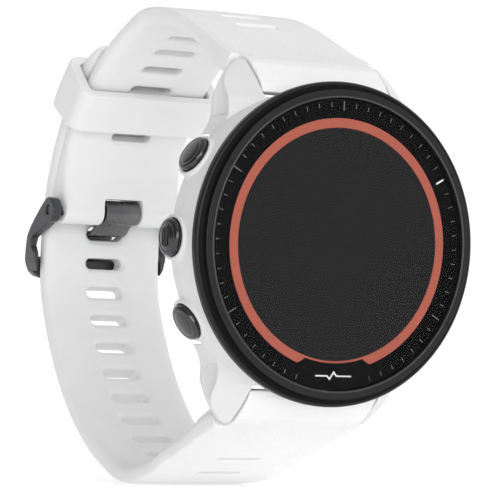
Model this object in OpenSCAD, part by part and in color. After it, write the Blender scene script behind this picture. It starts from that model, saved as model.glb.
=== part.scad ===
// Round GPS running watch, buckled on its silicone band.
// Millimetres, +Z towards twelve o'clock, +X towards three o'clock, -Y out through the display.
// The origin is the centre of the flat sensor face that rests on the wrist.

/* [Head] */
// Outside diameter of the bezel
bezel_d = 46.5; // [46.3:0.1:46.9]
// Height from the wrist face to the top of the lens
watch_h = 14.4; // [14.3:0.1:15]
// Diameter of the display's visible area
display_d = 33.2; // [32:0.2:34]
// Diameter of the sensor window on the wrist side
window_d = 15; // [13:0.5:15.4]

/* [Buttons] */
// Diameter of a button cap
button_d = 5.3; // [5:0.1:5.4]
// Inward travel of a button
button_travel = 0.5; // [0.2:0.1:0.6]
// Height of the button axes above the wrist face
button_h = 6.8; // [6.7:0.1:6.9]

/* [Band] */
// Gap between a pair of lugs
lug_gap = 22.2; // [22:0.1:22.4]
// Half the band's width behind the wrist
back_half_w = 10.35; // [9.8:0.05:10.4]
// Thickness of the long strap where it leaves the case
strap_t = 2.75; // [2.5:0.05:2.8]
// Distance between neighbouring strap slots
slot_pitch = 5.2; // [4.8:0.1:5.4]
// Length of a strap slot across the band
slot_l = 6.5; // [6.4:0.1:7.5]
// Width of a strap slot along the band
slot_w = 1.75; // [1.75:0.05:1.9]

/* [Buckle] */
// Diameter of the buckle pin
buckle_pin_d = 1.5; // [1.2:0.1:1.6]
// Width of the tang plate
tang_w = 6.1; // [5:0.1:6.2]
// Height of the keeper along the band, in degrees of the band's curve
keeper_deg = 12; // [10:0.5:12]

/* [Display] */
// The node to build

/* [Hidden] */
$fn = 96;
eps = 0.02;

white = [0.87, 0.87, 0.86];
dark = [0.16, 0.16, 0.17];
black = [0.05, 0.05, 0.055];
steel = [0.35, 0.35, 0.37];

bezel_r = bezel_d / 2;
case_r = bezel_r - 0.25;
case_top = 11.8;
lens_r = 20.75;
lens_under = watch_h - 0.8;
display_r = display_d / 2;
ring_r = 18;
cavity_r = 20.6;
flat_y = 19.2;
button_r = button_d / 2;
stem_r = 1;
button_angles = [150, 180, 210, 30, -30];

// Lug pin, strap flex line and the centre of the band's rear curve, as [y, z]
pin_yz = [-3.5, 23.3];
flex_yz = [14, 31.95];
arc_yz = [18.6, -1.6];
buckle_yz = [52.7, 4.25];
short_in_r = 35.2;
short_out_r = 37.9;
tail_in_r = 38;
tail_out_r = 40.85;
tang_slot_deg = 3.7;

// ---------- general shapes ----------

// Children are drawn lying face up: local y is twelve o'clock, local z is the height off the wrist
module face_up() { rotate([90, 0, 0]) children(); }

// Children are a flat shape in (y, z), which is extruded across the band
module across(w) { rotate([90, 0, 90]) linear_extrude(w, center = true) children(); }

module ring(r1, r2, z1, z2) {
  translate([0, 0, z1]) difference() {
    cylinder(r = r2, h = z2 - z1);
    translate([0, 0, -1]) cylinder(r = r1, h = z2 - z1 + 2);
  }
}

module disc(r, z1, z2) { translate([0, 0, z1]) cylinder(r = r, h = z2 - z1); }

// A disc with the two flats of the case's inner wall
module flatted_disc(r, half, z1, z2) {
  intersection() {
    disc(r, z1, z2);
    translate([-30, -half, z1 - 1]) cube([60, 2 * half, z2 - z1 + 2]);
  }
}

// A block with rounded upright edges
module soft_block(x, y, z, r) {
  translate([-x / 2 + r, -y / 2, 0]) cube([x - 2 * r, y, z]);
  translate([-x / 2, -y / 2 + r, 0]) cube([x, y - 2 * r, z]);
  for (i = [-1, 1], j = [-1, 1])
    translate([i * (x / 2 - r), j * (y / 2 - r), 0]) cylinder(r = r, h = z);
}

// Places children on a radial axis of the case, local z outwards
module radial(a) { rotate([0, 0, a]) translate([0, 0, button_h]) rotate([0, 90, 0]) children(); }

// ---------- curve helpers ----------

function blend4(a, b, c, d, t) = 0.5 * (2 * b + (c - a) * t + (2 * a - 5 * b + 4 * c - d) * t * t
  + (3 * b - a - 3 * c + d) * t * t * t);
function smooth(p, n = 3) = concat([for (i = [0 : len(p) - 2], k = [0 : n - 1])
  blend4(p[max(i - 1, 0)], p[i], p[i + 1], p[min(i + 2, len(p) - 1)], k / n)], [p[len(p) - 1]]);
function flat2(p) = [for (q = p) [q[0], q[1]]];
function unit(v) = v / norm(v);
// Direction along a curve at its point i
function along(p, i) = unit([p[min(i + 1, len(p) - 1)][0] - p[max(i - 1, 0)][0],
  p[min(i + 1, len(p) - 1)][1] - p[max(i - 1, 0)][1]]);
// The curve moved to one side by each point's own thickness, its third value
function side_of(p, s) = [for (i = [0 : len(p) - 1]) let (d = along(p, i))
  [p[i][0] - s * d[1] * p[i][2], p[i][1] + s * d[0] * p[i][2]]];
function reversed(p) = [for (i = [len(p) - 1 : -1 : 0]) p[i]];
function on_arc(r, a) = [arc_yz[0] + r * cos(a), arc_yz[1] + r * sin(a)];
// Point and heading after walking a distance along a curve
function walk(p, s, i = 0) = let (d = norm(p[i + 1] - p[i]))
  (s <= d || i >= len(p) - 2) ? [p[i] + (p[i + 1] - p[i]) * s / d, p[i + 1] - p[i]]
  : walk(p, s - d, i + 1);

// ---------- band curves, [y, z, thickness] on the outer surface ----------

short_curve = smooth(concat(
  [[14.2, 33.35, 2.75], [17.5, 34.35, 2.7], [21, 34.95, 2.7], [24.5, 35.2, 2.7]],
  [for (a = [75, 67, 59, 51, 43, 35, 27]) concat(on_arc(short_out_r, a), [2.7])],
  [concat(on_arc(short_out_r, 20.5), [3.3]), concat(on_arc(short_out_r, 16), [4.3]),
   concat(on_arc(short_out_r, 12.5), [5]), concat(on_arc(short_out_r, 10), [5.2])]));

long_stations = concat(
  [[14.2, -33.4, strap_t], [17.2, -34.8, strap_t], [20.5, -36, strap_t], [24.5, -36.9, strap_t],
   [28.5, -37.15, strap_t], [32.5, -36.5, strap_t], [36.5, -35, strap_t], [40.5, -33, strap_t],
   [44.8, -29.9, 2.8], [48.9, -26, 2.8], [52.3, -21.8, 2.8], [55.3, -17, 2.8],
   [57.6, -12.4, 2.8], [58.9, -8.6, 2.8], [59.4, -4.8, 2.85]],
  [for (a = [0, tang_slot_deg]) concat(on_arc(tail_out_r, a), [2.85])]);
tail_stations = concat(
  [for (a = [12, 20, 28, 36, 44]) concat(on_arc(tail_out_r, a), [tail_out_r - tail_in_r])],
  [concat(on_arc(40.2, 50), [40.2 - tail_in_r]), concat(on_arc(38.9, 55), [38.9 - tail_in_r])]);
long_curve = smooth(concat(long_stations, tail_stations));
// From the tang's slot back along the strap to the flex line
below_tang = reversed([for (i = [0 : 3 * (len(long_stations) - 1)]) [long_curve[i][0], long_curve[i][1]]]);

// Half the band's width against y
half_widths = [[-6, 12.4], [-1, 12.4], [4, 11.9], [8, 11.7], [14, 11.6], [20, 11.4],
  [28, back_half_w + 0.5], [35, back_half_w], [66, back_half_w]];

module width_plan() {
  linear_extrude(90, center = true) polygon(concat([for (p = half_widths) [p[1], p[0]]],
    [for (p = reversed(half_widths)) [-p[1], p[0]]]));
}

// A slot cutter: long axis across the band, heading along it
module slot_cut(at, heading, l = slot_l, w = slot_w) {
  translate([0, at[0], at[1]]) rotate([atan2(heading[1], heading[0]), 0, 0])
    translate([0, 0, -3]) linear_extrude(6) {
      square([l - w, w], center = true);
      for (i = [-1, 1]) translate([i * (l - w) / 2, 0]) circle(d = w);
    }
}

// ---------- the head ----------

// A lug has a front bevelled away from the dial and a side set back under the bevel's edge
module lug() {
  difference() {
    intersection() {
      linear_extrude(case_top) polygon([[lug_gap / 2, 15], [lug_gap / 2, 26.1], [11.6, 26.3], [12, 26.1],
        [12.6, 25.6], [13.2, 25], [13.9, 24.3], [14.5, 23.4], [14.95, 22.2], [15.1, 20.8], [15.15, 18],
        [15.6, 16.6], [16.6, 15]]);
      translate([lug_gap / 2, 0, 0]) rotate([0, 43, 0]) translate([-10, 0, 0]) rotate([90, 0, 90])
        linear_extrude(30) polygon([[12, -15], [28, -15], [28, 1.8], [26.4, 2.3], [26.2, 2.75],
          [25.9, 3.3], [25, 4.05], [24.2, 4.75], [23.5, 5.35], [22.6, 6], [21.7, 6.6], [21.1, 7.05],
          [20.4, 7.55], [19, 7.85], [17.7, 7.9], [15, 8.3], [12, 8.7]]);
      rotate([90, 0, 90]) linear_extrude(30) polygon([[14, 2], [15, 1.9], [21, 1.65], [24, 1.7],
        [25.2, 2.2], [26, 2.8], [28, 3.2], [28, 20], [14, 20]]);
    }
    rotate([0, 128.8, 31.6]) translate([-20, -20, 17.21]) cube([40, 40, 20]);
    intersection() {
      translate([0, 30, 0]) rotate([90, 0, 0]) linear_extrude(20) polygon([[14.4, 9], [14.4, 6.4],
        [14.5, 4.6], [15, 2.6], [17, 2], [17, 9]]);
      rotate([90, 0, 90]) linear_extrude(30) polygon([[17.7, 2], [17.7, 6.5], [19.4, 6.4], [20.4, 6.1],
        [21.3, 5.3], [22.2, 4.5], [23, 3.7], [23.6, 2.9], [23.6, 2]]);
    }
  }
}

module case_body() {
  color(white) face_up() difference() {
    union() {
      rotate_extrude() polygon([[14, 1.7], [19.6, 1.7], [20.6, 2.2], [21.6, 3.2], [22.4, 4.8],
        [22.85, 6.6], [case_r, 8.4], [case_r, case_top], [14, case_top]]);
      for (i = [0, 1], j = [0, 1]) mirror([i, 0, 0]) mirror([0, j, 0]) lug();
      for (a = button_angles) radial(a) translate([0, 0, 19]) cylinder(r1 = 3.45, r2 = 3.3, h = 4.45);
    }
    flatted_disc(cavity_r, flat_y, 3.6, 13);
    disc(16.2, 0, 4);
    ring(16.7, 17.4, 1, 2.3);
    for (j = [0, 1]) mirror([0, j, 0]) {
      translate([-lug_gap / 2, 20.45, 0]) cube([lug_gap, 8, 10.8]);
      translate([-12.75, pin_yz[1], -pin_yz[0]]) rotate([0, 90, 0]) cylinder(r = 0.92, h = 25.5);
    }
    for (a = button_angles) radial(a) {
      translate([0, 0, 22.3]) cylinder(r = button_r + 0.12, h = 4);
      translate([0, 0, 21.6]) cylinder(r = 1.62, h = 2);
      translate([0, 0, 18]) cylinder(r = stem_r + 0.04, h = 5);
    }
    for (a = [45 : 90 : 315]) rotate([0, 0, a]) translate([18.3, 0, 1]) cylinder(r = 0.6, h = 2.2);
  }
}

// Five small signs on the bezel: lamp, up, down, play and back
module signs(z1, z2) {
  translate([0, 0, z1]) linear_extrude(z2 - z1) {
    rotate(150) translate([21.55, 0]) {
      circle(r = 0.24);
      for (b = [0 : 60 : 300]) rotate(b) translate([0.36, -0.06]) square([0.2, 0.12]);
    }
    rotate(180) translate([21.55, 0]) rotate(180) polygon([[-0.45, -0.3], [0.45, -0.3], [0, 0.45]]);
    rotate(210) translate([21.55, 0]) rotate(-210) polygon([[-0.45, 0.3], [0.45, 0.3], [0, -0.45]]);
    rotate(30) translate([21.55, 0]) rotate(-30) polygon([[-0.35, -0.45], [-0.35, 0.45], [0.45, 0]]);
    rotate(-30) translate([21.55, 0]) rotate(30) {
      translate([-0.4, -0.4]) square([0.22, 0.8]);
      translate([0.12, -0.4]) square([0.22, 0.8]);
    }
  }
}

module bezel() {
  color(dark) face_up() difference() {
    rotate_extrude() polygon([[20.85, 11.85], [20.85, watch_h - 0.2], [20.97, watch_h - 0.1],
      [22.15, watch_h - 0.1], [22.3, watch_h - 0.32], [22.48, watch_h - 0.32],
      [22.75, watch_h - 0.6], [bezel_r, 12.9], [bezel_r, 12.2], [bezel_r - 0.25, 11.85]]);
    signs(watch_h - 0.22, watch_h + 1);
  }
}

module bezel_marks() { color(black) face_up() signs(watch_h - 0.22, watch_h - 0.12); }

module lens() {
  color([0.5, 0.5, 0.55, 0.35]) face_up() rotate_extrude() polygon([[0, lens_under],
    [lens_r, lens_under], [lens_r, watch_h - 0.2], [lens_r - 0.25, watch_h], [0, watch_h]]);
}

// The outline that the solar ring gives up to the dark tab at six o'clock
module tab_shape(grow) {
  intersection() {
    difference() { circle(r = ring_r + 0.3); circle(r = display_r + 0.32 - grow); }
    polygon([[-4.8 - grow, -16], [4.8 + grow, -16], [5.1 + grow, -16.45], [6.1 + grow, -16.95],
      [7.4 + grow, -19], [-7.4 - grow, -19], [-6.1 - grow, -16.95], [-5.1 - grow, -16.45]]);
  }
}

module dial_ring() {
  color(black) face_up() translate([0, 0, lens_under - 0.2]) linear_extrude(0.15) {
    difference() { circle(r = lens_r); circle(r = ring_r + 0.04); }
    tab_shape(-0.04);
  }
}

module dial_ticks() {
  color([0.6, 0.6, 0.6]) face_up() translate([0, 0, lens_under - 0.05]) linear_extrude(0.05)
    for (m = [0 : 59]) if (m < 28 || m > 32) rotate(-6 * m) {
      major = m == 0 || m == 10 || m == 20 || m == 40 || m == 50;
      translate([major ? -0.06 : -0.035, major ? 19.1 : 19.55]) square(major ? [0.12, 1.4] : [0.07, 0.65]);
    }
}

// A plain pulse line in place of any lettering
module dial_mark() {
  color([0.95, 0.95, 0.95]) face_up() translate([0, -18.75, lens_under - 0.05]) linear_extrude(0.05)
    polygon([[-3, -0.1], [-1.1, -0.1], [-0.6, -0.62], [0.05, 0.35], [0.5, -0.1], [3, -0.1],
      [3, 0.1], [0.58, 0.1], [0.05, 0.72], [-0.62, -0.28], [-1, 0.1], [-3, 0.1]]);
}

module solar_ring() {
  color([0.62, 0.3, 0.24]) face_up() translate([0, 0, lens_under - 0.2]) linear_extrude(0.15)
    difference() {
      circle(r = ring_r);
      circle(r = display_r + 0.04);
      tab_shape(0);
    }
}

module display_panel() { color([0.12, 0.12, 0.125]) face_up() disc(display_r, 12.5, lens_under - 0.05); }
module lens_gasket() { color(black) face_up() ring(19.6, lens_r, 12.5, lens_under - 0.22); }

module display_tray() {
  color([0.2, 0.2, 0.2]) face_up() difference() {
    disc(20.75, 11.85, 12.48);
    translate([-5, -16, 11]) cube([10, 3, 2]);
  }
}

module antenna_ring() {
  color([0.75, 0.68, 0.5]) face_up() difference() {
    ring(18.1, 19.1, 10.85, 11.6);
    translate([-1, -20, 10]) cube([2, 3, 2]);
  }
}

module main_board() {
  color([0.05, 0.25, 0.13]) face_up() difference() {
    flatted_disc(18.8, 18.4, 10, 10.7);
    for (a = [90, 270]) rotate([0, 0, a]) translate([17, 0, 9]) cylinder(r = 0.7, h = 3);
  }
}

module board_chips() {
  color([0.1, 0.1, 0.1]) face_up() {
    translate([-4, 3, 9.05]) soft_block(9, 9, 0.93, 0.4);
    translate([6.5, 4, 9.2]) soft_block(6, 6, 0.78, 0.3);
    translate([6, -5, 9.3]) soft_block(4.5, 5, 0.68, 0.2);
    translate([-5, -7, 9.3]) soft_block(6, 4, 0.68, 0.2);
  }
}

module battery() { color([0.55, 0.57, 0.6]) face_up() translate([0, 2.5, 4.4]) soft_block(24, 17, 4.3, 2); }

module inner_frame() {
  color([0.25, 0.25, 0.26]) face_up() {
    difference() {
      flatted_disc(20.4, 19, 3.7, 4.3);
      translate([-8, -5, 3]) cube([16, 8, 2]);
      translate([-5.2, -11.6, 3]) cylinder(r = 1, h = 2);
    }
    for (i = [-1, 1]) translate([i * 13 - 0.5, -4, 4.3 - eps]) cube([1, 12, 3]);
  }
}

module vibration_motor() { color(steel) face_up() translate([-5.2, -11.6, 4.35]) cylinder(r = 4, h = 2.7); }

module buzzer() {
  color([0.75, 0.65, 0.3]) face_up() translate([5.2, -11.6, 4.35]) {
    cylinder(r = 4.3, h = 0.5);
    cylinder(r = 3.2, h = 0.9);
  }
}

module button_switches() {
  color([0.6, 0.6, 0.62]) face_up() for (a = button_angles) radial(a) {
    translate([-1.2, -1.6, 16.4]) cube([2.4, 3.2, 0.8]);
    translate([0, 0, 17]) cylinder(r = 0.8, h = 0.55);
  }
}

module button_seals() {
  color(black) face_up() for (a = button_angles) radial(a) ring(stem_r + 0.03, 1.6, 21.62, 22.25);
}

module rear_cover() {
  color([0.82, 0.82, 0.81]) face_up() difference() {
    rotate_extrude() polygon([[window_d / 2 + 0.08, 0], [8.6, 0.04], [9.6, 0.25], [11, 0.5],
      [17, 0.72], [19.1, 0.95], [19.5, 1.25], [19.5, 1.67], [16.1, 1.67], [16.1, 2.3],
      [15.4, 2.3], [15.4, 1.67], [window_d / 2 + 0.08, 1.67]]);
    translate([0, -12.4, -1]) soft_block(9, 4.2, 5, 0.8);
    for (a = [45 : 90 : 315]) rotate([0, 0, a]) translate([18.3, 0, 0]) {
      cylinder(r = 0.64, h = 3);
      cylinder(r = 1.1, h = 1.22);
    }
  }
}

module rear_gasket() { color(black) face_up() ring(16.75, 17.35, 1.69, 2.28); }

module rear_screws() {
  color(steel) face_up() for (a = [45 : 90 : 315]) rotate([0, 0, a]) translate([18.3, 0, 0]) difference() {
    union() {
      translate([0, 0, 0.9]) cylinder(r = 1.05, h = 0.32);
      translate([0, 0, 1]) cylinder(r = 0.58, h = 2.1);
    }
    translate([0, 0, 0.5]) cylinder(r = 0.4, h = 0.6, $fn = 6);
  }
}

module sensor_window() { color([0.06, 0.06, 0.07]) face_up() disc(window_d / 2, 0, 1); }
module sensor_board() { color([0.05, 0.2, 0.12]) face_up() disc(8.8, 1.72, 2.3); }

module sensor_leds() {
  color([0.4, 0.8, 0.5]) face_up() {
    for (i = [-1, 1]) translate([i * 1.1, 0, 1.05]) translate([-0.6, -0.6, 0]) cube([1.2, 1.2, 0.65]);
    translate([-0.6, 3.2, 1.05]) cube([1.2, 0.9, 0.65]);
  }
}

module sensor_photodiodes() {
  color([0.15, 0.15, 0.2]) face_up() for (a = [0 : 90 : 270]) rotate([0, 0, a + 45])
    translate([3.2, -1, 1.05]) cube([1.6, 2, 0.65]);
}

module charge_block() {
  color(black) face_up() difference() {
    translate([0, -12.4, 1.1]) soft_block(8.8, 4, 2.3, 0.7);
    for (i = [-1.5 : 1 : 1.5]) translate([i * 1.9, -12.4, 0]) cylinder(r = 0.5, h = 5);
  }
}

module charge_contacts() {
  color([0.85, 0.68, 0.3]) face_up() for (i = [-1.5 : 1 : 1.5])
    translate([i * 1.9, -12.4, 0.85]) cylinder(r = 0.48, h = 2.7);
}

module lug_pin() {
  color(steel) translate([-12.6, pin_yz[0], pin_yz[1]]) rotate([0, 90, 0]) cylinder(r = 0.9, h = 25.2);
}
module upper_lug_pin() { lug_pin(); }
module lower_lug_pin() { mirror([0, 0, 1]) lug_pin(); }

// ---------- buttons ----------

module button(a) {
  color(steel) face_up() radial(a) {
    rotate_extrude() polygon([[0, 18.2], [stem_r, 18.2], [stem_r, 19.88], [0.7, 19.88], [0.7, 20.42],
      [stem_r, 20.42], [stem_r, 23], [button_r, 23], [button_r, 24.05], [button_r - 0.12, 24.2],
      [button_r - 0.5, 24.38], [button_r - 1.2, 24.52], [0, 24.58]]);
    children();
  }
}

module clip(a) {
  color(dark) face_up() radial(a) difference() {
    ring(0.74, 1.6, 19.92, 20.38);
    translate([-0.4, 0, 19]) cube([0.8, 3, 2]);
  }
}

module button_light() { button(150); }
// The middle button on this side has four grip ridges
module button_up() {
  button(180) for (i = [-1.5 : 1 : 1.5]) translate([i * 0.42 - 0.1, -1.3, 24.3]) cube([0.2, 2.6, 0.38]);
}
module button_down() { button(210); }
// The start button has a raised ring
module button_start() { button(30) ring(1.3, 1.6, 24.3, 24.7); }
module button_back() { button(-30); }
module clip_light() { clip(150); }
module clip_up() { clip(180); }
module clip_down() { clip(210); }
module clip_start() { clip(30); }
module clip_back() { clip(-30); }

// ---------- strap roots and their quick-release latches, drawn for twelve o'clock ----------

latch_tilt = 28;
// Local frame of a latch: origin on the lug pin, local x along the band, local y outwards
module at_latch() { translate([pin_yz[0], pin_yz[1]]) rotate(latch_tilt) children(); }

module root_shape() {
  difference() {
    polygon([[-8.9, 21.2], [-8.4, 22.5], [-7.3, 23.8], [-6.3, 24.7], [-5.4, 25.55], [-3.9, 26.35],
      [-1.5, 27.15], [1, 28.05], [3.7, 29.1], [7.6, 30.8], [11.8, 32.5], [14, 33.35], [15, 30.9], [12.8, 30], [8.65, 28.15], [5.5, 25.95],
      [-2.6, 21.65], [-3.6, 21.15]]);
    translate(flex_yz) rotate(23) translate([-0.2, -5]) square([5, 10]);
  }
}

module strap_root(bore) {
  color(white) difference() {
    intersection() {
      across(40) root_shape();
      union() {
        width_plan();
        translate([-20, -20, 10]) cube([40, 40, 10]);
      }
      union() {
        translate([-lug_gap / 2 + 0.3, -20, 10]) cube([lug_gap - 0.6, 40, 30]);
        translate([-20, -20, 26.55]) cube([40, 40, 20]);
      }
    }
    translate([-20, pin_yz[0], pin_yz[1]]) rotate([0, 90, 0]) cylinder(r = bore, h = 40);
    across(8.4) at_latch() {
      translate([-0.2, -3]) square([8.6, 2.4]);
      circle(r = 2);
    }
  }
}

module latch_frame(bore) {
  color(dark) difference() {
    across(8) at_latch() {
      translate([0, -1.85]) square([8.2, 1.15]);
      circle(r = 1.85);
    }
    translate([-20, pin_yz[0], pin_yz[1]]) rotate([0, 90, 0]) cylinder(r = bore, h = 40);
  }
}

module latch_slide() {
  color(steel) {
    across(5) at_latch() translate([2.6, -2.6]) square([3.4, 0.7]);
    for (k = [0 : 2]) across(4.4) at_latch() translate([3.1 + k * 1, -2.85]) square([0.4, 0.26]);
  }
}

module upper_strap_root() { strap_root(0.97); }
module upper_latch_frame() { latch_frame(0.97); }
module upper_latch_slide() { latch_slide(); }
// The band closes on itself, so the lower pivot has more play than the upper
module lower_strap_root() { mirror([0, 0, 1]) strap_root(1.12); }
module lower_latch_frame() { mirror([0, 0, 1]) latch_frame(1.12); }
module lower_latch_slide() { mirror([0, 0, 1]) latch_slide(); }

// ---------- the band behind the flex lines ----------

module short_strap() {
  color(white) difference() {
    union() {
      across(2 * back_half_w - 0.04) translate(buckle_yz) circle(r = 2.1);
      intersection() {
      across(30) difference() {
        polygon(concat(flat2(short_curve), reversed(side_of(short_curve, -1))));
        translate(flex_yz) rotate(23) translate([-5, -5]) square([5.2, 10]);
      }
      width_plan();
      }
    }
    for (k = [0 : 5]) let (a = 30.2 + 7.5 * k)
      slot_cut(on_arc(36.5, a), [-sin(a), cos(a)], slot_l + 0.5, slot_w - 0.25);
    translate([-3.4, 49, 0]) cube([6.8, 9, 6.35]);
    translate([-15, buckle_yz[0], buckle_yz[1]]) rotate([0, 90, 0]) cylinder(d = buckle_pin_d + 0.02, h = 30);
  }
}

module long_strap() {
  color(white) difference() {
    intersection() {
      across(30) difference() {
        polygon(concat(flat2(long_curve), reversed(side_of(long_curve, 1))));
        mirror([0, 1]) translate(flex_yz) rotate(23) translate([-5, -5]) square([5.2, 10]);
      }
      width_plan();
    }
    for (k = [0 : 6]) let (a = tang_slot_deg + slot_pitch * 1.454 * k)
      slot_cut(on_arc(39.4, a), [-sin(a), cos(a)]);
    for (k = [1 : 10]) let (w = walk(below_tang, slot_pitch * k)) slot_cut(w[0], w[1]);
  }
}

module buckle_pin() {
  color(steel) translate([-12.4, buckle_yz[0], buckle_yz[1]]) rotate([0, 90, 0])
    cylinder(d = buckle_pin_d, h = 24.8);
}

// Two swept arms and a bar behind the band; its lower corners are trimmed round
module buckle_frame() {
  color(dark) difference() {
    intersection() {
      union() {
        for (i = [-1, 1]) translate([i * 11.95, 0, 0]) across(1.5) union() {
          translate(buckle_yz) circle(r = 2);
          polygon([[52.7, 6.2], [54.6, 5.35], [56.1, 4], [57.4, 2.8], [58.6, 1.6], [59.6, 0.2],
            [60.5, -1.2], [61.2, -2.6], [61.7, -3.6], [61.7, -5.6], [61.1, -6.6], [59.4, -6.7],
            [58.4, -6], [58, -4.6], [58.1, -2.6], [58.9, -1.4], [58.3, -0.2], [56.8, 0.5],
            [54.4, 1.35], [52.6, 2.25]]);
        }
        across(24) polygon([[60.15, -6.5], [60.5, -6.8], [61.3, -6.8], [61.75, -6.3], [61.75, -3.7],
          [61.3, -3.2], [60.5, -3.2], [60.15, -3.6]]);
      }
      translate([0, 70, 0]) rotate([90, 0, 0]) linear_extrude(30) polygon([[-12.8, 8], [-12.8, 0.6],
        [-12.5, -0.8], [-12.1, -2.8], [-11.7, -4.6], [-11.2, -5.7], [-10.4, -6.35], [-9.3, -6.7],
        [9.3, -6.7], [10.4, -6.35], [11.2, -5.7], [11.7, -4.6], [12.1, -2.8], [12.5, -0.8],
        [12.8, 0.6], [12.8, 8]]);
    }
    translate([-15, buckle_yz[0], buckle_yz[1]]) rotate([0, 90, 0]) cylinder(d = buckle_pin_d + 0.1, h = 30);
  }
}

tang_line = [for (p = smooth([[53.3, 2.9], [54.4, 2.2], [55.4, 1.3], [56.5, 0.88], [58, 0.86],
  [59.3, 0.92], [60.2, 0.6], [60.85, -0.3], [61.3, -1.5], [61.85, -2.7], [62.25, -3.9],
  [62.3, -5.8]], 4)) [p[0], p[1], 0.4]];

module buckle_tang() {
  color(steel) difference() {
    union() {
      across(tang_w) polygon(concat(side_of(tang_line, 1), reversed(side_of(tang_line, -1))));
      across(tang_w - 0.04) translate(buckle_yz) circle(r = 1.95);
    }
    translate([-15, buckle_yz[0], buckle_yz[1]]) rotate([0, 90, 0]) cylinder(d = buckle_pin_d + 0.1, h = 30);
  }
}

keeper_mid = 39;
// The loop is turned about the centre of the band's rear curve, so it can slide along the band
module keeper() {
  color(white) translate([0, arc_yz[0], arc_yz[1]]) rotate([90, 0, 90])
    rotate([0, 0, keeper_mid - keeper_deg / 2]) rotate_extrude(angle = keeper_deg) difference() {
      translate([33.4, -12.4]) square([9.3, 24.8]);
      translate([34.85, -back_half_w - 0.4]) square([6.35, 2 * back_half_w + 0.8]);
    }
}

case_body();
bezel();
bezel_marks();
lens();
dial_ring();
dial_ticks();
dial_mark();
solar_ring();
display_panel();
lens_gasket();
display_tray();
antenna_ring();
main_board();
board_chips();
battery();
inner_frame();
vibration_motor();
buzzer();
button_switches();
button_seals();
rear_cover();
rear_gasket();
rear_screws();
sensor_window();
sensor_board();
sensor_leds();
sensor_photodiodes();
charge_block();
charge_contacts();
upper_lug_pin();
lower_lug_pin();
button_light();
button_up();
button_down();
button_start();
button_back();
clip_light();
clip_up();
clip_down();
clip_start();
clip_back();
upper_strap_root();
upper_latch_frame();
upper_latch_slide();
lower_strap_root();
lower_latch_frame();
lower_latch_slide();
short_strap();
long_strap();
buckle_pin();
buckle_frame();
buckle_tang();
keeper();
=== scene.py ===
import bpy, bmesh, math
from mathutils import Vector, Matrix


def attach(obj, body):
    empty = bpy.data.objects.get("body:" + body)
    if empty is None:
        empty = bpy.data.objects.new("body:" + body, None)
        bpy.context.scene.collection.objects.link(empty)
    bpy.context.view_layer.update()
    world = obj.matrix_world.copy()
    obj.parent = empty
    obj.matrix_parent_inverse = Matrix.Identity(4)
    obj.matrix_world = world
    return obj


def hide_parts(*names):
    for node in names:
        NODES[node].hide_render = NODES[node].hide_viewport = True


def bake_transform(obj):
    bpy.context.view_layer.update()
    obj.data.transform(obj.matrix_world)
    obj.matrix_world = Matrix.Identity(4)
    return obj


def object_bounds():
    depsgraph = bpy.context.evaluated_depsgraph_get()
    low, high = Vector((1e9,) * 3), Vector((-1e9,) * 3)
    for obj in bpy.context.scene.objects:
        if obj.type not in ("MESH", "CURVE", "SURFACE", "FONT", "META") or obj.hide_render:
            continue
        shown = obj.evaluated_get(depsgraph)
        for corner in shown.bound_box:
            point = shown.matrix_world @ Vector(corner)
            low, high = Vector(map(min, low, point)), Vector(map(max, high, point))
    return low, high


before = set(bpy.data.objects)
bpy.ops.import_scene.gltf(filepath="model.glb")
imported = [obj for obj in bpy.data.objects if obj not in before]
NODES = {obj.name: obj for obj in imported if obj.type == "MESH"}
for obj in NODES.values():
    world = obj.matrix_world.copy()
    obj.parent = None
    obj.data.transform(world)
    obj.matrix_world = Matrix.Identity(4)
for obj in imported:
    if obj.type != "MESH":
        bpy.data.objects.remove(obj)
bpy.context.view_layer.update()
MM = 0.001

# ------------------------------------------------------------------ mesh helpers (millimetres in, metres out)


def make(name, verts, faces, smooth=True):
    me = bpy.data.meshes.new(name)
    me.from_pydata([(x * MM, y * MM, z * MM) for x, y, z in verts], [], faces)
    me.update()
    bm = bmesh.new()
    bm.from_mesh(me)
    bmesh.ops.recalc_face_normals(bm, faces=bm.faces)
    bm.to_mesh(me)
    bm.free()
    o = bpy.data.objects.new(name, me)
    bpy.context.scene.collection.objects.link(o)
    if smooth:
        me.polygons.foreach_set("use_smooth", [True] * len(me.polygons))
    return o


def bake(o):
    """Applies the object's modifiers."""
    bpy.context.view_layer.update()
    me = bpy.data.meshes.new_from_object(o.evaluated_get(bpy.context.evaluated_depsgraph_get()))
    o.modifiers.clear()
    o.data = me
    me.name = o.name
    return o


def join(name, objs):
    bm = bmesh.new()
    for o in objs:
        bm.from_mesh(o.data)
    me = bpy.data.meshes.new(name)
    bm.to_mesh(me)
    bm.free()
    for o in objs:
        bpy.data.objects.remove(o)
    out = bpy.data.objects.new(name, me)
    bpy.context.scene.collection.objects.link(out)
    return out


def cut(o, cutter):
    m = o.modifiers.new("cut", "BOOLEAN")
    m.operation, m.solver, m.object = "DIFFERENCE", "EXACT", cutter
    bake(o)
    return o


def soften(o, voxel, rounds, factor=0.5):
    """One skin round everything in the mesh, with softened edges, as moulded parts have."""
    m = o.modifiers.new("skin", "REMESH")
    m.mode, m.voxel_size, m.use_smooth_shade = "VOXEL", voxel * MM, True
    s = o.modifiers.new("soft", "SMOOTH")
    s.factor, s.iterations = factor, rounds
    return bake(o)


def smooth_by_angle(o, degrees=35):
    """Smooth shading with the sharp edges kept."""
    bm = bmesh.new()
    bm.from_mesh(o.data)
    for f in bm.faces:
        f.smooth = True
    for e in bm.edges:
        e.smooth = len(e.link_faces) == 2 and e.calc_face_angle(0) < math.radians(degrees)
    bm.to_mesh(o.data)
    bm.free()
    return o


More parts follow.
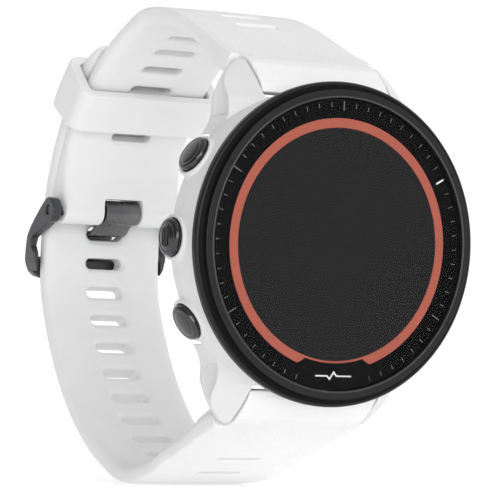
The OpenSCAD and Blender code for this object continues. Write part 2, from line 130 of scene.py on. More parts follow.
def lathe(name, profile, seg=256, centre=(0, 0, 0), axis=(0, -1, 0), up=(0, 0, 1), degrees=25):
    """A closed (radius, height) profile turned about an axis."""
    a, u = Vector(axis).normalized(), Vector(up).normalized()
    w = a.cross(u)
    c = Vector(centre)
    verts, faces, rows = [], [], []
    for r, h in profile:
        if r < 1e-6:
            rows.append([len(verts)])
            verts.append(c + a * h)
            continue
        rows.append(list(range(len(verts), len(verts) + seg)))
        for i in range(seg):
            t = 2 * math.pi * i / seg
            verts.append(c + a * h + (u * math.cos(t) + w * math.sin(t)) * r)
    n = len(rows)
    for k in range(n):
        p, q = rows[k], rows[(k + 1) % n]
        if len(p) == 1 and len(q) == 1:
            continue
        for i in range(seg):
            j = (i + 1) % seg
            if len(p) == 1:
                faces.append((p[0], q[j], q[i]))
            elif len(q) == 1:
                faces.append((p[i], p[j], q[0]))
            else:
                faces.append((p[i], p[j], q[j], q[i]))
    return smooth_by_angle(make(name, verts, faces), degrees)


def prism(name, outline, half, place):
    """A flat outline given thickness: place(a, b, c) puts a point, c runs from -half to half."""
    n = len(outline)
    verts = [place(a, b, s * half) for s in (-1, 1) for a, b in outline]
    faces = [tuple(range(n)), tuple(range(2 * n - 1, n - 1, -1))]
    faces += [(i, i + n, (i + 1) % n + n, (i + 1) % n) for i in range(n)]
    return make(name, verts, faces, smooth=False)


def across(a, b, c):
    return (c, a, b)


def rounded_rect(w, h, r, n=6):
    """Points round a rectangle of half-sizes w and h with corner radius r."""
    pts = []
    for cx, cy, start in ((w - r, h - r, 0), (-w + r, h - r, 90), (-w + r, -h + r, 180), (w - r, -h + r,
                          270)):
        for i in range(n + 1):
            t = math.radians(start + 90 * i / n)
            pts.append((cx + r * math.cos(t), cy + r * math.sin(t)))
    return pts


def stadium(length, width, n=10):
    return rounded_rect(length / 2, width / 2, width / 2 - 1e-4, n)


# ------------------------------------------------------------------ materials


def material(name, color, rough=0.5, metallic=0.0, vary=0.04, rough_vary=0.08, scale=900.0, bump=0.15,
             bump_mm=0.02, spec=0.5, coat=0.0, sss=0.0, alpha=1.0, streak=None, ribs=False):
    """Moulded or metal surface: colour and roughness vary a little, with fine relief."""
    m = bpy.data.materials.new(name)
    m.use_nodes = True
    nt = m.node_tree
    p = nt.nodes["Principled BSDF"]
    p.inputs["Metallic"].default_value = metallic
    p.inputs["Specular IOR Level"].default_value = spec
    p.inputs["Coat Weight"].default_value = coat
    p.inputs["Coat Roughness"].default_value = 0.1
    if sss:
        p.inputs["Subsurface Weight"].default_value = sss
        p.inputs["Subsurface Radius"].default_value = (1.0, 0.9, 0.85)
        p.inputs["Subsurface Scale"].default_value = 0.0012
    p.inputs["Alpha"].default_value = alpha
    co = nt.nodes.new("ShaderNodeTexCoord")
    mp = nt.nodes.new("ShaderNodeMapping")
    if streak:
        mp.inputs["Scale"].default_value = streak
    nt.links.new(co.outputs["Object"], mp.inputs["Vector"])
    broad = nt.nodes.new("ShaderNodeTexNoise")
    broad.inputs["Scale"].default_value = scale / 9
    broad.inputs["Detail"].default_value = 3
    fine = nt.nodes.new("ShaderNodeTexNoise")
    fine.inputs["Scale"].default_value = scale
    fine.inputs["Detail"].default_value = 4
    nt.links.new(mp.outputs["Vector"], broad.inputs["Vector"])
    nt.links.new(mp.outputs["Vector"], fine.inputs["Vector"])
    ramp = nt.nodes.new("ShaderNodeValToRGB")
    ramp.color_ramp.elements[0].position, ramp.color_ramp.elements[1].position = 0.3, 0.7
    ramp.color_ramp.elements[0].color = [c * (1 - vary) for c in color[:3]] + [1]
    ramp.color_ramp.elements[1].color = [min(1, c * (1 + vary)) for c in color[:3]] + [1]
    nt.links.new(broad.outputs["Fac"], ramp.inputs["Fac"])
    nt.links.new(ramp.outputs["Color"], p.inputs["Base Color"])
    mr = nt.nodes.new("ShaderNodeMapRange")
    mr.inputs["To Min"].default_value = max(0.02, rough - rough_vary)
    mr.inputs["To Max"].default_value = min(1, rough + rough_vary)
    nt.links.new(fine.outputs["Fac"], mr.inputs["Value"])
    nt.links.new(mr.outputs["Result"], p.inputs["Roughness"])
    b = nt.nodes.new("ShaderNodeBump")
    b.inputs["Strength"].default_value = bump
    b.inputs["Distance"].default_value = bump_mm * MM
    nt.links.new(fine.outputs["Fac"], b.inputs["Height"])
    nt.links.new(b.outputs["Normal"], p.inputs["Normal"])
    if ribs:
        turn = nt.nodes.new("ShaderNodeMapping")
        turn.inputs["Rotation"].default_value = (0.0, 0.0, math.radians(38))
        nt.links.new(co.outputs["Object"], turn.inputs["Vector"])
        wave = nt.nodes.new("ShaderNodeTexWave")
        wave.inputs["Scale"].default_value = 420.0
        wave.inputs["Distortion"].default_value = 0.0
        nt.links.new(turn.outputs["Vector"], wave.inputs["Vector"])
        split = nt.nodes.new("ShaderNodeSeparateXYZ")
        nt.links.new(co.outputs["Object"], split.inputs["Vector"])
        fade = nt.nodes.new("ShaderNodeMapRange")
        fade.inputs["From Min"].default_value = 0.004
        fade.inputs["From Max"].default_value = 0.015
        fade.inputs["To Min"].default_value = 0.35
        fade.inputs["To Max"].default_value = 0.0
        nt.links.new(split.outputs["Y"], fade.inputs["Value"])
        rib = nt.nodes.new("ShaderNodeBump")
        rib.inputs["Distance"].default_value = 0.03 * MM
        nt.links.new(fade.outputs["Result"], rib.inputs["Strength"])
        nt.links.new(wave.outputs["Fac"], rib.inputs["Height"])
        nt.links.new(rib.outputs["Normal"], b.inputs["Normal"])
    return m


SILICONE = material("white_silicone", (0.795, 0.797, 0.795), rough=0.55, vary=0.012, scale=2600, bump=0.25,
                    bump_mm=0.012, sss=0.1, spec=0.3)
BAND = material("white_silicone_ribbed", (0.795, 0.797, 0.795), rough=0.55, vary=0.012, scale=2600,
                bump=0.25, bump_mm=0.012, sss=0.1, spec=0.3, ribs=True)
CASE = material("white_case", (0.69, 0.692, 0.69), rough=0.42, vary=0.012, scale=3200, bump=0.2,
                bump_mm=0.01, spec=0.4)
COVER = material("white_cover", (0.74, 0.74, 0.735), rough=0.45, vary=0.015, scale=3000, bump=0.2,
                 bump_mm=0.01, spec=0.4)
BEZEL = material("satin_black_bezel", (0.009, 0.009, 0.0095), rough=0.36, vary=0.06, scale=3600, bump=0.25,
                 bump_mm=0.006, spec=0.25)
# painted shade: a darker, duller black than the bezel, for the thin skin over the bezel's cove, so that the
# cove shows as a dark band
COVE_PAINTED_SHADE = material("bezel_cove_painted_shade", (0.004, 0.004, 0.0042), rough=0.5, vary=0.06, scale=3600, bump=0.2,
                bump_mm=0.006, spec=0.08)
# painted highlight: a lighter, shinier grey than the bezel, for the thin skin on the bezel's inner lip, so
# that the lip shows as a light line
RIM_PAINTED_HIGHLIGHT = material("bezel_rim_painted_highlight", (0.03, 0.03, 0.031), rough=0.3, vary=0.05, scale=3600, bump=0.1,
               bump_mm=0.004, spec=0.5)
MARK = material("engraved_black", (0.006, 0.006, 0.006), rough=0.5, vary=0.05, spec=0.2)
LENS = material("clear_lens", (0.01, 0.01, 0.011), rough=0.04, rough_vary=0.01, vary=0.02, bump=0.02,
                alpha=0.05)
DIAL = material("black_dial_print", (0.0042, 0.0042, 0.0045), rough=0.6, vary=0.05, spec=0.02)
TICK = material("grey_tick_print", (0.17, 0.17, 0.17), rough=0.5, vary=0.15, spec=0.2)
WHITE_PRINT = material("white_print", (0.85, 0.85, 0.85), rough=0.5, vary=0.01, spec=0.2)
SOLAR = material("copper_red_ring", (0.40, 0.095, 0.06), rough=0.45, vary=0.04, scale=2400, spec=0.3)
DISPLAY = material("display_panel_off", (0.0165, 0.0165, 0.017), rough=0.6, vary=0.02, scale=5000, spec=0.04)
SEAL = material("black_rubber", (0.02, 0.02, 0.02), rough=0.7, vary=0.1)
PLASTIC = material("inner_plastic", (0.06, 0.06, 0.065), rough=0.55, vary=0.08)
ANTENNA = material("antenna_plating", (0.62, 0.5, 0.3), rough=0.35, metallic=1.0, vary=0.06)
BOARD = material("board_green", (0.01, 0.11, 0.04), rough=0.35, vary=0.2, coat=0.3)
CHIP = material("chip_black", (0.02, 0.02, 0.02), rough=0.55, vary=0.1)
FOIL = material("battery_foil", (0.45, 0.47, 0.5), rough=0.35, metallic=0.9, vary=0.05, streak=(1, 1, 20))
STEEL = material("turned_steel", (0.5, 0.5, 0.51), rough=0.28, metallic=1.0, vary=0.05, streak=(14, 1, 1))
BRASS = material("buzzer_brass", (0.7, 0.5, 0.22), rough=0.35, metallic=1.0, vary=0.06)
GOLD = material("gold_contact", (0.85, 0.62, 0.22), rough=0.22, metallic=1.0, vary=0.04)
WINDOW = material("sensor_glass", (0.008, 0.008, 0.01), rough=0.08, vary=0.05, spec=0.5, coat=0.5)
LED = material("led_package", (0.25, 0.7, 0.3), rough=0.25, vary=0.1)
DIODE = material("photodiode_package", (0.03, 0.03, 0.05), rough=0.25, vary=0.1)
BUTTON = material("dark_polished_metal", (0.075, 0.075, 0.078), rough=0.17, metallic=1.0, vary=0.06,
                  rough_vary=0.05, scale=2200, bump=0.05)
LATCH = material("dark_latch_metal", (0.1, 0.1, 0.105), rough=0.4, metallic=0.8, vary=0.06)
SLIDE = material("latch_slide_steel", (0.38, 0.38, 0.39), rough=0.3, metallic=1.0, vary=0.05,
                 streak=(10, 1, 1))
BUCKLE = material("dark_coated_buckle", (0.075, 0.076, 0.08), rough=0.36, metallic=0.75, vary=0.05,
                  scale=3000, bump=0.2, bump_mm=0.008)
TANG = material("brushed_dark_tang", (0.16, 0.16, 0.165), rough=0.3, metallic=1.0, vary=0.18,
                rough_vary=0.12, scale=1500, streak=(1, 1, 0.05), bump=0.2, bump_mm=0.006)

PAINT = {
    "case_body": CASE, "bezel": BEZEL, "bezel_marks": MARK, "lens": LENS, "dial_ring": DIAL,
    "dial_ticks": TICK, "dial_mark": WHITE_PRINT, "solar_ring": SOLAR, "display_panel": DISPLAY,
    "lens_gasket": SEAL, "display_tray": PLASTIC, "antenna_ring": ANTENNA, "main_board": BOARD,
    "board_chips": CHIP, "battery": FOIL, "inner_frame": PLASTIC, "vibration_motor": STEEL,
    "buzzer": BRASS, "button_switches": STEEL, "button_seals": SEAL, "rear_cover": COVER,
    "rear_gasket": SEAL, "rear_screws": STEEL, "sensor_window": WINDOW, "sensor_board": BOARD,
    "sensor_leds": LED, "sensor_photodiodes": DIODE, "charge_block": CHIP, "charge_contacts": GOLD,
    "upper_lug_pin": STEEL, "lower_lug_pin": STEEL, "clip_light": STEEL, "clip_up": STEEL,
    "clip_down": STEEL, "clip_start": STEEL, "clip_back": STEEL, "upper_latch_frame": LATCH,
    "lower_latch_frame": LATCH, "upper_latch_slide": SLIDE, "lower_latch_slide": SLIDE,
    "buckle_pin": LATCH, "buckle_frame": BUCKLE, "buckle_tang": TANG, "keeper": SILICONE,
    "upper_strap_root": SILICONE, "lower_strap_root": SILICONE, "short_strap": SILICONE,
    "long_strap": SILICONE, "button_light": BUTTON, "button_up": BUTTON, "button_down": BUTTON,
    "button_start": BUTTON, "button_back": BUTTON,
}
for node, m in PAINT.items():
    me = NODES[node].data
    me.materials.clear()
    me.materials.append(m)


def finish_piece(o, mat, body, nodes=()):
    """Material and body of a finished piece, and the CAD nodes that it stands for."""
    o.data.materials.clear()
    o.data.materials.append(mat)
    if body:
        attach(o, body)
    if nodes:
        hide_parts(*nodes)
    return o


# ------------------------------------------------------------------ head

H = 14.4  # wrist face to lens top, in mm


def soft_copy(name, node, voxel, rounds):
    """A softened skin over a CAD node's shape."""
    o = bpy.data.objects.new(name, NODES[node].data.copy())
    bpy.context.scene.collection.objects.link(o)
    return soften(o, voxel, rounds)


case = soft_copy("case_shell", "case_body", 0.13, 2)
finish_piece(case, CASE, "head", ["case_body"])

bezel = lathe("bezel_ring", [
    (20.85, 11.9), (20.85, H - 0.3), (20.87, H - 0.17), (20.92, H - 0.08), (21.0, H - 0.03), (21.08,
        H - 0.02),
    (21.14, H - 0.06), (21.18, H - 0.15), (22.02, H - 0.16), (22.1, H - 0.22), (22.12, H - 0.45), (22.16,
        H - 0.7),
    (22.26, H - 0.9), (22.42, H - 1.02), (22.64, H - 1.1), (22.8, H - 1.12), (22.9, H - 1.1), (23.02,
        H - 1.13),
    (23.14, H - 1.22), (23.22, H - 1.36), (23.25, H - 1.55), (23.25, 12.25), (23.2, 12.05), (23.1, 11.93),
    (23.0, 11.9)], seg=360)
finish_piece(bezel, BEZEL, "head", ["bezel"])
# a thin skin over the bezel's cove in the darker cove material: painted shade
cove = [(22.11, H - 0.2), (22.13, H - 0.45), (22.17, H - 0.69), (22.27, H - 0.89), (22.43, H - 1.01),
        (22.64, H - 1.09),
        (22.8, H - 1.11)]
finish_piece(lathe("bezel_cove", cove + [(r - 0.06, h - 0.06) for r, h in reversed(cove)], seg=360), COVE_PAINTED_SHADE,
    "head")
# a thin skin over the bezel's inner lip in the lighter rim material: a painted highlight line
rim = [(20.9, H - 0.09), (20.97, H - 0.02), (21.07, H - 0.005), (21.15, H - 0.03), (21.2, H - 0.11),
       (21.05, H - 0.2)]
finish_piece(lathe("bezel_inner_rim", rim, seg=360), RIM_PAINTED_HIGHLIGHT, "head")

lens = lathe("lens_disc", [(0, H - 0.8), (20.74, H - 0.8), (20.74, H - 0.24), (20.7, H - 0.12), (20.6,
             H - 0.04),
                           (20.45, H), (0, H)], seg=256)
finish_piece(lens, LENS, "head", ["lens"])


def tick(angle, r0, r1, width):
    """A printed mark on the dial, seen through the lens."""
    a = math.radians(angle)
    u, w = Vector((math.cos(a), 0, math.sin(a))), Vector((-math.sin(a), 0, math.cos(a)))
    return prism("tick", [(r0, -width / 2), (r1, -width / 2), (r1, width / 2), (r0, width / 2)], 0.02,
                 lambda p, q, c: tuple(u * p + w * q + Vector((0, -(H - 0.825) + c, 0))))


marks = []
for k in range(60):
    if 28 <= k <= 32 or k == 10:
        continue
    major = k in (0, 20, 40, 50)
    marks.append(tick(90 - 6 * k, 19.1 if major else 19.6, 20.5 if major else 20.25, 0.14 if major else 0.1))
finish_piece(join("dial_tick_print", marks), TICK, "head", ["dial_ticks"])
finish_piece(tick(30, 18.9, 20.25, 0.24), WHITE_PRINT, "head")

BUTTON_R = 2.66
CAP = [(0, 18.2), (1, 18.2), (1, 19.88), (0.7, 19.88), (0.7, 20.42), (1, 20.42), (1, 23.0),
       (BUTTON_R - 0.05, 23.0),
       (BUTTON_R, 23.05), (BUTTON_R, 24.0), (BUTTON_R - 0.03, 24.08), (BUTTON_R - 0.1, 24.17),
       (BUTTON_R - 0.22, 24.25), (BUTTON_R - 0.45, 24.33), (BUTTON_R - 0.6, 24.36), (BUTTON_R - 0.66, 24.33),
       (BUTTON_R - 0.74, 24.33), (BUTTON_R - 0.8, 24.38), (1.5, 24.47), (1.0, 24.54), (0.5, 24.57), (0,
           24.58)]


def button(tag, degrees):
    """A button cap on its stem, at an angle round the case."""
    a = math.radians(degrees)
    out = Vector((math.cos(a), 0, math.sin(a)))
    c = Vector((0, -6.8, 0))
    cap = lathe("cap_body_" + tag, CAP, seg=96, centre=c, axis=out, up=(0, -1, 0), degrees=40)
    side = Vector((-math.sin(a), 0, math.cos(a)))
    parts = [cap]
    if tag == "up":
        for k in (-1.5, -0.5, 0.5, 1.5):
            outline = stadium(2.75 - 0.15 * k * k, 0.2, 8)
            parts.append(prism("ridge", outline, 0.17, lambda p, q, s, k=k: tuple(
                c + out * (24.52 + s) + side * p + Vector((0, 1, 0)) * (q + k * 0.42))))
    if tag == "start":
        parts.append(lathe("ring", [(1.3, 24.3), (1.3, 24.62), (1.35, 24.68), (1.55, 24.68), (1.6, 24.62),
                     (1.6, 24.3)],
                           seg=96, centre=c, axis=out, up=(0, -1, 0)))
    o = join("button_cap_" + tag, parts) if len(parts) > 1 else parts[0]
    smooth_by_angle(o, 40)
    return finish_piece(o, BUTTON, tag + "_button", ["button_" + tag])


for tag, deg in (("light", 150), ("up", 180), ("down", 210), ("start", 30), ("back", -30)):
    button(tag, deg)

# ------------------------------------------------------------------ band

ARC = (18.6, -1.6)


def arc(r, a):
    """(y, z) at radius r and angle a on the band's rear curve."""
    return (ARC[0] + r * math.cos(math.radians(a)), ARC[1] + r * math.sin(math.radians(a)))


def arc_heading(a):
    return (-math.sin(math.radians(a)), math.cos(math.radians(a)))


def spline(p, n):
    """A Catmull-Rom curve through the points, n steps to a span."""
    out = []
    for i in range(len(p) - 1):
        a, b, c, d = p[max(i - 1, 0)], p[i], p[i + 1], p[min(i + 2, len(p) - 1)]
        for k in range(n):
            t = k / n
            out.append(tuple(0.5 * (2 * y + (z - x) * t + (2 * x - 5 * y + 4 * z - w) * t * t
                                    + (3 * y - x - 3 * z + w) * t ** 3)
                             for x, y, z, w in zip(a, b, c, d)))
    out.append(tuple(p[-1]))
    return out


def half_width(y):
    """Half the band's width at y, in mm."""
    table = [(-6, 12.4), (-1, 12.35), (4, 11.9), (8, 11.7), (14, 11.6), (20, 11.35), (28, 10.9),
             (35, 10.45), (66, 10.45)]
    for (a, p), (b, q) in zip(table, table[1:]):
        if y <= b:
            t = max(0, min(1, (y - a) / (b - a)))
            t = t * t * (3 - 2 * t)
            return p + (q - p) * t
    return table[-1][1]


def sweep(name, path, inward, edge=0.55, crown=0.1):
    """A strap: path has (y, z, thickness) on the outer surface, inward is the side the wrist is on."""
    rows = []
    n = len(path)
    for i, (y, z, t) in enumerate(path):
        a, b = path[max(i - 1, 0)], path[min(i + 1, n - 1)]
        dy, dz = b[0] - a[0], b[1] - a[1]
        L = math.hypot(dy, dz)
        ny, nz = -dz / L * inward, dy / L * inward
        w = half_width(y)
        r = min(edge, (t - crown) / 2 - 0.02)
        row = []
        for x, v in cross_section(w, t, r, crown):
            row.append((x, y + ny * v, z + nz * v))
        rows.append(row)
    m = len(rows[0])
    verts = [p for row in rows for p in row]
    faces = [tuple(range(m)), tuple(range(len(verts) - 1, len(verts) - m - 1, -1))]
    for i in range(n - 1):
        for j in range(m):
            k = (j + 1) % m
            faces.append((i * m + j, i * m + k, (i + 1) * m + k, (i + 1) * m + j))
    return make(name, verts, faces)


def cross_section(w, t, r, crown):
    """Points (x, depth) round a strap: slightly crowned outside, flat inside, rounded corners."""
    half = []
    for i in range(7):
        x = (w - r) * i / 6
        half.append((x, crown * (x / (w - r)) ** 2))
    for i in range(1, 6):
        a = math.pi / 2 * i / 5
        half.append((w - r + r * math.sin(a), crown + r - r * math.cos(a)))
    deep, wide = min(1.25, t * 0.45), 2.2
    for i in range(8):
        a = math.pi / 2 * i / 7
        half.append((w - wide + wide * math.cos(a), t - deep + deep * math.sin(a)))
    for i in range(5, -1, -1):
        half.append(((w - wide) * i / 6, t))
    return half + [(-x, v) for x, v in half[-2:0:-1]]


ROOT = [(-8.9, 21.2), (-8.4, 22.5), (-7.3, 23.8), (-6.3, 24.7), (-5.4, 25.55), (-3.9, 26.35), (-1.5,
        27.15), (1, 28.05),
        (3.7, 29.1), (7.6, 30.8), (8.65, 28.15), (5.5, 25.95), (-2.6, 21.65), (-3.6, 21.15)]
PIN = (-3.5, 23.3)
TILT = math.radians(28)


def latch_place(sign):
    """Places points of a latch pocket: u along the band from the lug pin, v outwards."""
    def place(u, v, x):
        y = PIN[0] + u * math.cos(TILT) - v * math.sin(TILT)
        z = PIN[1] + u * math.sin(TILT) + v * math.cos(TILT)
        return (x, y, sign * z)
    return place


def slot_cutter(at, heading, length, width, depth=3.0, lift=0.0):
    L = math.hypot(*heading)
    ty, tz = heading[0] / L, heading[1] / L
    return prism("slot", stadium(length, width), depth,
                 lambda p, q, s: (p, at[0] + ty * q - tz * (s + lift), at[1] + tz * q + ty * (s + lift)))


def strap(name, sign, stations, slots, dishes, grooves, inward, extra=()):
    """The swept strap with its cuts, and the root round the lug pin.

    Each group of cuts is made by itself, as shapes that overlap can't be cut together.
    """
    path = spline(stations, 5)
    body = sweep(name + "_sweep", path, inward)
    root = prism(name + "_root", [(y, sign * z) for y, z in ROOT], 10.8, across)
    pocket = prism("pocket", [(-1.6, -4), (8.4, -4), (8.4, -0.6), (-1.6, -0.6)], 4.15, latch_place(sign))
    bore = lathe("bore", [(0, -20), (1.2, -20), (1.2, 20), (0, 20)], seg=48, centre=(0, PIN[0],
                 sign * PIN[1]), axis=(1, 0, 0))
    hook = lathe("hook", [(0, -4.15), (1.9, -4.15), (1.9, 4.15), (0, 4.15)], seg=48, centre=(0, PIN[0],
                 sign * PIN[1]), axis=(1, 0, 0))
    for c in (pocket, bore, hook):
        cut(root, c)
    cut(body, pocket)
    for c in (pocket, bore, hook):
        bpy.data.objects.remove(c)
    for group in (slots, dishes, grooves):
        c = join("cutters", [slot_cutter(*g) for g in group])
        cut(body, c)
        bpy.data.objects.remove(c)
    for c in extra:
        cut(body, c)
        bpy.data.objects.remove(c)
    return body, root


def walk(path, s):
    """Point and heading after going a distance s along the path."""
    for (a, b) in zip(path, path[1:]):
        d = math.hypot(b[0] - a[0], b[1] - a[1])
        if s <= d:
            t = s / d
            return (a[0] + (b[0] - a[0]) * t, a[1] + (b[1] - a[1]) * t), (b[0] - a[0], b[1] - a[1])
        s -= d
    return path[-1][:2], (path[-1][0] - path[-2][0], path[-1][1] - path[-2][1])


FRONT = [(-1.9, 27.0, 2.6), (-0.4, 27.55, 3.2), (1.6, 28.28, 3.3), (3.7, 29.1, 3.2), (7.6, 30.8, 2.9),
         (11.8, 32.5, 2.8)]
SHORT = FRONT + [(14.2, 33.35, 2.75), (17.5, 34.35, 2.7), (21, 34.95, 2.7), (24.5, 35.2, 2.7)] + \
        [arc(37.9, a) + (2.7,) for a in (75, 67, 59, 51, 43, 35, 27)] + \
        [arc(37.9, 20.5) + (3.3,), arc(37.9, 16) + (4.3,), arc(37.9, 12.5) + (5.0,), arc(37.9, 10) + (5.2,)]
TAIL_R = 40.95
PITCH, SLOT_L, SLOT_W = 5.2, 6.5, 1.75
LOW_BACK = [(14.2, -33.4, 2.75), (17.2, -34.8, 2.75), (20.5, -36, 2.75), (24.5, -36.9, 2.75), (28.5,
            -37.15, 2.75),
            (32.5, -36.55, 2.8), (36.5, -35.05, 2.8), (40.5, -33.05, 2.8), (44.85, -29.97, 2.85), (48.97,
                -26.05, 2.85),
            (52.4, -21.85, 2.9), (55.4, -17.04, 2.9), (57.7, -12.42, 2.9), (59.0, -8.62, 2.9), (59.5, -4.8,
                2.95)]
LONG = [(y, -z, t) for y, z, t in FRONT] + LOW_BACK + \
       [arc(TAIL_R, a) + (2.95,) for a in (0, 3.7)] + [arc(TAIL_R, a) + (2.9,) for a in (12, 20, 28, 36,
                                                       44)] + \
       [arc(40.2, 50) + (2.15,), arc(39.0, 54.5) + (0.95,)]


def at_y(path, y):
    """Point and heading where the path first reaches y."""
    for (a, b) in zip(path, path[1:]):
        if a[0] <= y <= b[0]:
            t = (y - a[0]) / (b[0] - a[0])
            return (y, a[1] + (b[1] - a[1]) * t), (b[0] - a[0], b[1] - a[1])


def dished(slots, faces):
    """Each slot's softly sunk edge, on faces given as distances from the slot's centre point."""
    out = []
    for at, heading, length, width in slots:
        L = math.hypot(*heading)
        for f in faces:
            p = (at[0] - heading[1] / L * f, at[1] + heading[0] / L * f)
            out.append((p, heading, length + 1.0, width + 1.0, 0.26))
    return out


# upper strap: slots on the rear curve, grooves near the crest, a notch for the tang at its end
up_slots = []
for k in range(6):
    a = 30.2 + 7.5 * k
    up_slots.append((arc(36.5, a), arc_heading(a), 7.0, 1.5))
up_path = spline(SHORT, 5)
up_grooves = []
for y in (6.6, 11.6, 15.9):
    at, h = at_y(up_path, y)
    up_grooves.append((at, h, 7.2, 1.35, 3.0, 2.2))
notch = prism("notch", [(49, -1), (58, -1), (58, 6.35), (49, 6.35)], 3.4, across)
upper, upper_root = strap("upper_strap", 1, SHORT, up_slots, dished(up_slots, (-1.5, 1.35)), up_grooves,
                          -1, [notch])
roll = lathe("roll", [(0.78, -10.33), (1.95, -10.33), (2.1, -10.15), (2.1, -3.55), (1.95, -3.4), (0.78,
             -3.4)], seg=64, centre=(0, 52.7, 4.25), axis=(1, 0, 0))
roll2 = lathe("roll2", [(0.78, 3.4), (1.95, 3.4), (2.1, 3.55), (2.1, 10.15), (1.95, 10.33), (0.78, 10.33)],
              seg=64, centre=(0, 52.7, 4.25), axis=(1, 0, 0))
band_up = soften(join("upper_band", [upper, upper_root, roll, roll2]), 0.22, 4)
finish_piece(band_up, BAND, None, ["upper_strap_root", "short_strap"])
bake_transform(band_up)

low_path = spline(LONG, 5)
to_tang = low_path[:5 * (len(FRONT) + len(LOW_BACK) + 1) + 1]
tang_at = sum(math.hypot(b[0] - a[0], b[1] - a[1]) for a, b in zip(to_tang, to_tang[1:]))
low_slots = []
for k in range(-10, 1):
    at, h = walk(low_path, tang_at + PITCH * k)
    # the slot that holds the tang is larger, so that the tang clears it when the buckle lifts
    low_slots.append((at, h, 6.6, 2.15) if k == 0 else (at, h, SLOT_L, SLOT_W))
for k in range(1, 7):
    a = 3.7 + PITCH * 1.454 * k
    low_slots.append((arc(39.4, a), arc_heading(a), SLOT_L, SLOT_W))
low_grooves = []
for y in (6.2, 11.8, 17.6):
    at, h = at_y(low_path, y)
    low_grooves.append((at, h, 7.2, 1.35, 3.0, -2.2))
low_dishes = dished(low_slots[:11], (2.95,)) + dished(low_slots[11:], (-1.4,))
lower, lower_root = strap("lower_strap", -1, LONG, low_slots, low_dishes, low_grooves, 1)
band_low = soften(join("lower_band", [lower, lower_root]), 0.22, 4)
finish_piece(band_low, BAND, None, ["lower_strap_root", "long_strap"])
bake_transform(band_low)

# keeper: a soft loop with rounded corners, turned along the rear curve
outer = rounded_rect(12.4, 4.65, 2.0, 8)
inner = rounded_rect(10.78, 3.17, 0.9, 8)
kv, kf = [], []
rings = 13
for i in range(rings):
    a = math.radians(33 + 12 * i / (rings - 1))
    for pts in (outer, inner):
        for x, q in pts:
            r = 38.05 + q
            kv.append((x, ARC[0] + r * math.cos(a), ARC[1] + r * math.sin(a)))
m = len(outer)
for i in range(rings - 1):
    for side in (0, 1):
        b0, b1 = (2 * i + side) * m, (2 * (i + 1) + side) * m
        for j in range(m):
            k = (j + 1) % m
            kf.append((b0 + j, b0 + k, b1 + k, b1 + j))
for b0 in (0, 2 * (rings - 1) * m):
    for j in range(m):
        k = (j + 1) % m
        kf.append((b0 + j, b0 + k, b0 + m + k, b0 + m + j))
keeper = soften(make("keeper_loop_soft", kv, kf), 0.2, 5)
finish_piece(keeper, SILICONE, "keeper_loop", ["keeper"])

frame_soft = soft_copy("buckle_frame_cast", "buckle_frame", 0.12, 4)
finish_piece(frame_soft, BUCKLE, "buckle", ["buckle_frame"])
tang_soft = soft_copy("buckle_tang_plate", "buckle_tang", 0.1, 3)
finish_piece(tang_soft, TANG, "tang", ["buckle_tang"])

# ------------------------------------------------------------------ stage, lights, camera

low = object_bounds()[0][2]
# the floor glows a little, like a lit table, so that the underside of the band is not dark
fm = material("pale_floor", (0.9, 0.9, 0.9), rough=0.9, vary=0.004, scale=60, bump=0.02, spec=0.1)
floor_shader = fm.node_tree.nodes["Principled BSDF"]
floor_shader.inputs["Emission Color"].default_value = (1, 1, 1, 1)
floor_shader.inputs["Emission Strength"].default_value = 0.34
fv, ff = [], []
# flat floor, a quarter round, then a wall; it runs away from the camera along the heading (fx, fy)
fx, fy = 0.5122, 0.8588
outline = [(-0.9, 0.0), (0.9, 0.0)]
outline += [(0.9 + 0.5 * math.sin(math.radians(t)),
            0.5 - 0.5 * math.cos(math.radians(t))) for t in range(6, 91, 6)]
outline += [(1.4, 2.2)]
for q, h in outline:
    for s in (-2.5, 2.5):
        fv.append(((fx * q - fy * s) / MM, (fy * q + fx * s) / MM, h / MM + low / MM - 0.05))
for i in range(len(outline) - 1):
    ff.append((2 * i, 2 * i + 1, 2 * i + 3, 2 * i + 2))
floor = make("floor", fv, ff)
floor.data.materials.append(fm)


def area(name, loc, target, size, power):
    """A square soft light, in metres and watts, aimed at a point."""
    L = bpy.data.lights.new(name, "AREA")
    L.energy = power
    L.shape = "RECTANGLE"
    L.size, L.size_y = size, size
    o = bpy.data.objects.new(name, L)
    o.location = loc
    o.rotation_euler = (Vector(target) - Vector(loc)).to_track_quat("-Z", "Y").to_euler()
    bpy.context.scene.collection.objects.link(o)


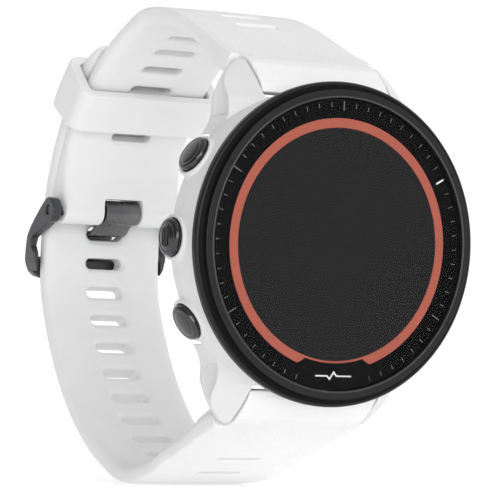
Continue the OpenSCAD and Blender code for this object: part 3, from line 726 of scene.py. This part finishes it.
area("key", (-0.1, -0.95, 0.25), (0, 0.02, 0), 0.6, 3.4)
area("front_left", (-0.62, -0.72, 0.12), (0, 0.03, 0), 0.4, 2.3)
area("side", (0.85, -0.25, 0.25), (0, 0.02, 0), 0.5, 0.6)

world = bpy.data.worlds.new("studio")
bpy.context.scene.world = world
world.use_nodes = True
wn = world.node_tree
wc = wn.nodes.new("ShaderNodeTexCoord")
ws = wn.nodes.new("ShaderNodeSeparateXYZ")
# the left of the room is dimmer than the right
wm = wn.nodes.new("ShaderNodeMapRange")
wm.inputs["From Min"].default_value = -1.0
wm.inputs["From Max"].default_value = 0.1
wm.inputs["To Min"].default_value = 0.22
wm.inputs["To Max"].default_value = 0.8
wn.links.new(wc.outputs["Generated"], ws.inputs["Vector"])
wn.links.new(ws.outputs["X"], wm.inputs["Value"])
wn.links.new(wm.outputs["Result"], wn.nodes["Background"].inputs["Strength"])
wn.nodes["Background"].inputs["Color"].default_value = (1, 1, 1, 1)

FOCAL_PX = 3158.05
FRAME_PX = 500
cam = bpy.data.cameras.new("camera")
cam.sensor_width = 36
cam.lens = FOCAL_PX / FRAME_PX * cam.sensor_width
cam.clip_start, cam.clip_end = 0.01, 20
co = bpy.data.objects.new("camera", cam)
bpy.context.scene.collection.objects.link(co)
bpy.context.scene.camera = co
AZ, EL, DIST, ROLL = math.radians(-32.412), math.radians(-0.698), 450.0, math.radians(2.368)
back = Vector((math.sin(AZ) * math.cos(EL), -math.cos(AZ) * math.cos(EL), math.sin(EL)))
eye = Vector((0, -13.6, 0)) + back * DIST
aim = Vector((-14.654, -13.6, -1.373))
fw = (aim - eye).normalized()
right = fw.cross(Vector((0, 0, 1))).normalized()
upv = right.cross(fw)
r2 = right * math.cos(ROLL) + upv * math.sin(ROLL)
u2 = -right * math.sin(ROLL) + upv * math.cos(ROLL)
rot = Matrix((r2, u2, -fw)).transposed().to_4x4()
co.matrix_world = Matrix.Translation(eye * MM) @ rot

bpy.context.scene.view_settings.view_transform = "Standard"
